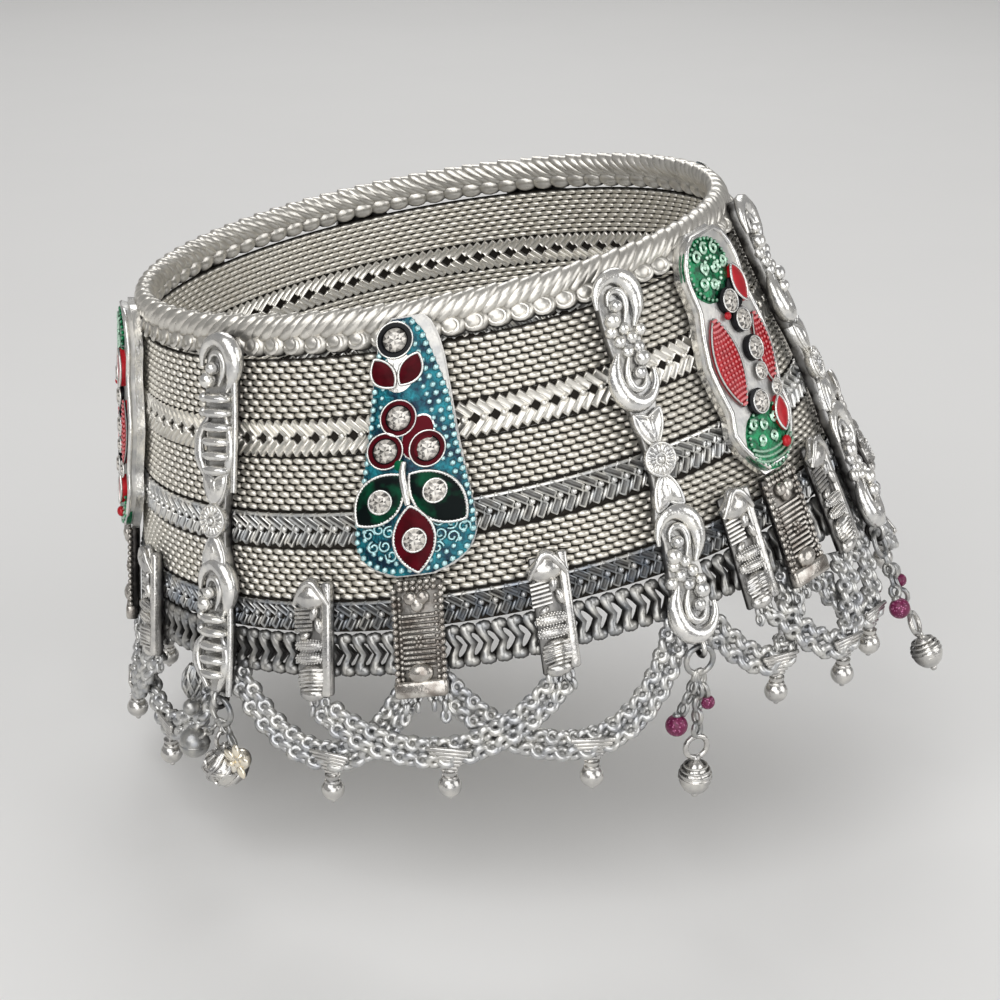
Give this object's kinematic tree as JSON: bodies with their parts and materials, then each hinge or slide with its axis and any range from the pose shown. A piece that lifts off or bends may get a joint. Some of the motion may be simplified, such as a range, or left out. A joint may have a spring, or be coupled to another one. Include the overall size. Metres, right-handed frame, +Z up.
{
  "type": "payal anklet",
  "caption": "Broad woven silver anklet with enamelled plaques, cast bars, chain festoons and bell tassels.",
  "frame": {"origin": "middle of the rim loop, on the axis of the ankle that wears it", "axes": "+Z up the leg, +X towards the instep, -Y the front that the picture shows"},
  "size_m": [0.1351, 0.1186, 0.0968],
  "materials": {
    "woven_silver": "bright silver wire, woven",
    "chain_silver": "polished silver links with dark recesses",
    "cast_silver": "polished cast silver",
    "teal_enamel": "silver setting with teal metallic enamel, dark red and green petals and clear cut stones",
    "green_enamel": "silver setting with green and red enamel and clear cut stones"
  },
  "bodies": {
    "root": {"rim_chain": "chain_silver", "mesh_upper": "woven_silver", "chevron_upper": "chain_silver", "mesh_middle": "woven_silver", "chevron_middle": "chain_silver", "mesh_lower": "woven_silver", "chevron_lower": "chain_silver", "edge_chain": "chain_silver", "bar_left": "cast_silver", "bar_right": "cast_silver", "bar_instep": "cast_silver", "bar_heel": "cast_silver", "clasp": "cast_silver", "plaque_front": "teal_enamel", "plaque_instep": "green_enamel", "plaque_back_instep": "teal_enamel", "plaque_back_heel": "teal_enamel", "plaque_heel": "green_enamel", "link_left_bay_1": "cast_silver", "link_left_bay_2": "cast_silver", "link_left_bay_3": "cast_silver", "swag_left_bay_1": "chain_silver", "swag_left_bay_2": "chain_silver", "swag_left_bay_3": "chain_silver", "link_right_bay_1": "cast_silver", "link_right_bay_2": "cast_silver", "link_right_bay_3": "cast_silver", "swag_right_bay_1": "chain_silver", "swag_right_bay_2": "chain_silver", "swag_right_bay_3": "chain_silver", "link_instep_bay_1": "cast_silver", "link_instep_bay_2": "cast_silver", "link_instep_bay_3": "cast_silver", "swag_instep_bay_1": "chain_silver", "swag_instep_bay_2": "chain_silver", "swag_instep_bay_3": "chain_silver", "link_back_bay_1": "cast_silver", "link_back_bay_2": "cast_silver", "link_back_bay_3": "cast_silver", "swag_back_bay_1": "chain_silver", "swag_back_bay_2": "chain_silver", "swag_back_bay_3": "chain_silver", "link_heel_bay_1": "cast_silver", "link_heel_bay_2": "cast_silver", "link_heel_bay_3": "cast_silver", "swag_heel_bay_1": "chain_silver", "swag_heel_bay_2": "chain_silver", "swag_heel_bay_3": "chain_silver", "tassel_left_chain": "chain_silver", "tassel_left_bell": "cast_silver", "tassel_right_chain": "chain_silver", "tassel_right_bell": "cast_silver", "tassel_instep_chain": "chain_silver", "tassel_instep_bell": "cast_silver", "tassel_back_chain": "chain_silver", "tassel_back_bell": "cast_silver", "tassel_heel_chain": "chain_silver", "tassel_heel_bell": "cast_silver"}
  },
  "joints": []
}
